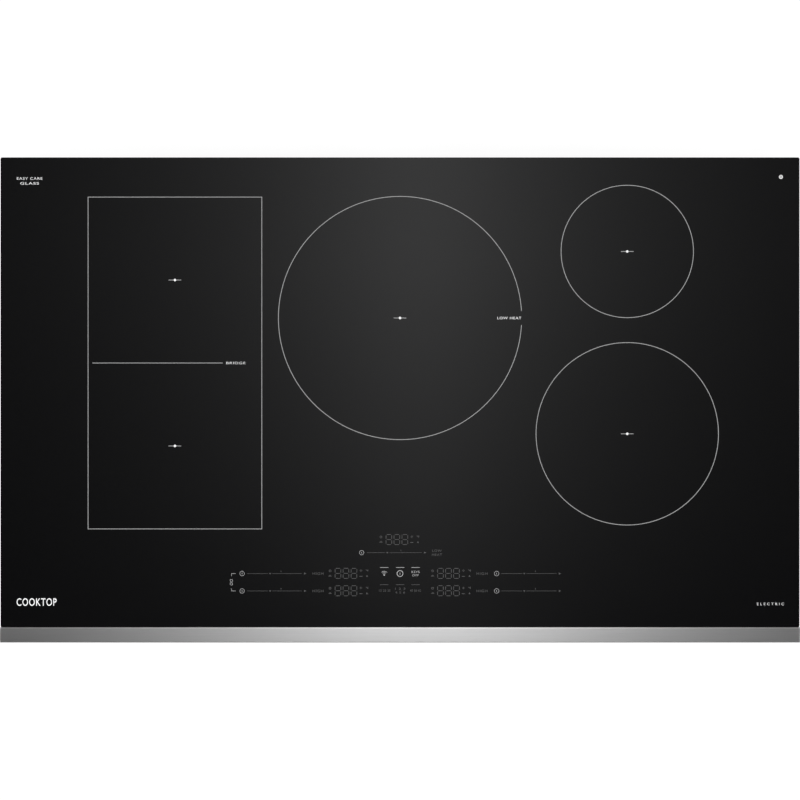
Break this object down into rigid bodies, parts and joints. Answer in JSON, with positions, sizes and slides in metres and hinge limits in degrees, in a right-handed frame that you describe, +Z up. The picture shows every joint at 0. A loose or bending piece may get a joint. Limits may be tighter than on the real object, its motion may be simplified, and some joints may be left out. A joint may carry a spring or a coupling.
{
  "type": "electric induction cooktop",
  "caption": "Drop-in electric induction cooktop: black glass top with a steel front edge over a shallow vented case that holds coils, power boards and blowers.",
  "frame": {"origin": "on the plane where the gasket rests on the countertop, at the centre of the top's outline seen from above", "axes": "+X to the user's right along the longest side, +Y to the rear, +Z up out of the countertop"},
  "size_m": [0.9208, 0.5588, 0.1035],
  "materials": {
    "black_glass": "polished black glass-ceramic, opaque",
    "brushed_stainless": "stainless brushed along its length",
    "bond_silicone": "cured black silicone",
    "gasket_foam": "closed-cell foam tape",
    "galvanised_steel": "galvanised, fine spangle",
    "zinc_plate": "bright zinc plating",
    "clamp_pad_nylon": "natural nylon",
    "die_cast_zinc": "as cast",
    "stamped_steel": "zinc plated",
    "terminal_plastic": "moulded, matt",
    "terminal_brass": "nickel-flashed brass",
    "tray_aluminium": "mill finish",
    "litz_copper": "enamelled copper litz",
    "former_plastic": "glass-filled black plastic",
    "ferrite": "fired, unglazed",
    "mica": "pressed mica sheet",
    "sensor_ceramic": "white ceramic",
    "spring_steel": "bright spring wire",
    "lead_silicone": "brown silicone sleeve",
    "mains_pvc": "black PVC insulation",
    "ribbon_pvc": "grey flat cable",
    "circuit_board": "green solder mask",
    "spacer_nylon": "natural nylon",
    "heatsink_aluminium": "extruded",
    "transistor_epoxy": "black epoxy",
    "film_capacitor_box": "yellow moulded box",
    "electrolytic_sleeve": "dark shrink sleeve",
    "choke_winding": "enamelled copper over a coated core",
    "motor_steel": "laminated steel",
    "casing_plastic": "black moulded",
    "wheel_plastic": "dark grey moulded",
    "housing_plastic": "light grey moulded",
    "display_plastic": "black display block",
    "contact_foam": "conductive foam"
  },
  "bodies": {
    "case": {"glass_top": "black_glass", "front_trim": "brushed_stainless", "glass_bond": "bond_silicone", "perimeter_gasket": "gasket_foam", "glass_support_frame": "galvanised_steel", "burner_box": "galvanised_steel", "left_hold_down_bracket": "galvanised_steel", "right_hold_down_bracket": "galvanised_steel", "tray_rails": "galvanised_steel", "case_screws": "zinc_plate", "saddle_screws": "zinc_plate", "conduit_connector": "die_cast_zinc", "conduit_locknut": "stamped_steel", "terminal_block": "terminal_plastic", "terminal_screws": "terminal_brass", "left_coil_tray": "tray_aluminium", "centre_coil_tray": "tray_aluminium", "right_coil_tray": "tray_aluminium", "coil_shields": "tray_aluminium", "bridge_windings": "litz_copper", "centre_inner_winding": "litz_copper", "centre_outer_winding": "litz_copper", "right_rear_winding": "litz_copper", "right_front_winding": "litz_copper", "bridge_coil_formers": "former_plastic", "centre_coil_former": "former_plastic", "right_rear_coil_former": "former_plastic", "right_front_coil_former": "former_plastic", "ferrite_bars": "ferrite", "mica_sheets": "mica", "temperature_sensors": "sensor_ceramic", "coil_springs": "spring_steel", "coil_leads": "lead_silicone", "mains_leads": "mains_pvc", "control_ribbon": "ribbon_pvc", "left_power_board": "circuit_board", "centre_power_board": "circuit_board", "right_power_board": "circuit_board", "filter_board": "circuit_board", "touch_board": "circuit_board", "board_spacers": "spacer_nylon", "heatsinks": "heatsink_aluminium", "power_transistors": "transistor_epoxy", "film_capacitors": "film_capacitor_box", "electrolytic_capacitors": "electrolytic_sleeve", "filter_chokes": "choke_winding", "blower_motors": "motor_steel", "left_blower_casing": "casing_plastic", "centre_blower_casing": "casing_plastic", "right_blower_casing": "casing_plastic", "control_housing": "housing_plastic", "display_modules": "display_plastic", "touch_contacts": "contact_foam"},
    "centre_wheel": {"centre_blower_wheel": "wheel_plastic"},
    "left_wheel": {"left_blower_wheel": "wheel_plastic"},
    "left_clamp_pad": {"left_clamp_pad": "clamp_pad_nylon"},
    "left_clamp_screw": {"left_clamp_screw": "zinc_plate"},
    "right_wheel": {"right_blower_wheel": "wheel_plastic"},
    "right_clamp_pad": {"right_clamp_pad": "clamp_pad_nylon"},
    "right_clamp_screw": {"right_clamp_screw": "zinc_plate"}
  },
  "joints": [
    {"name": "left_blower_spin", "type": "hinge", "parent": "case", "child": "left_wheel", "pos_m": [-0.325, -0.16, -0.075], "axis": [0, 0, 1], "continuous": true},
    {"name": "centre_blower_spin", "type": "hinge", "parent": "case", "child": "centre_wheel", "pos_m": [-0.029, -0.16, -0.075], "axis": [0, 0, 1], "continuous": true},
    {"name": "right_blower_spin", "type": "hinge", "parent": "case", "child": "right_wheel", "pos_m": [0.261, -0.16, -0.075], "axis": [0, 0, 1], "continuous": true},
    {"name": "left_pad_lift", "type": "slide", "parent": "case", "child": "left_clamp_pad", "axis": [0, 0, 1], "range_m": [0, 0.022]},
    {"name": "left_clamp_turn", "type": "hinge", "parent": "left_clamp_pad", "child": "left_clamp_screw", "pos_m": [-0.4465, 0.007, -0.067], "axis": [0, 0, 1], "range_deg": [0, 7920]},
    {"name": "right_pad_lift", "type": "slide", "parent": "case", "child": "right_clamp_pad", "axis": [0, 0, 1], "range_m": [0, 0.022]},
    {"name": "right_clamp_turn", "type": "hinge", "parent": "right_clamp_pad", "child": "right_clamp_screw", "pos_m": [0.4465, 0.007, -0.067], "axis": [0, 0, 1], "range_deg": [0, 7920]}
  ],
  "couplings": [
    {"joint": "left_clamp_turn", "follows": "left_pad_lift", "rad_per_m": 6283.2},
    {"joint": "right_clamp_turn", "follows": "right_pad_lift", "rad_per_m": 6283.2}
  ]
}
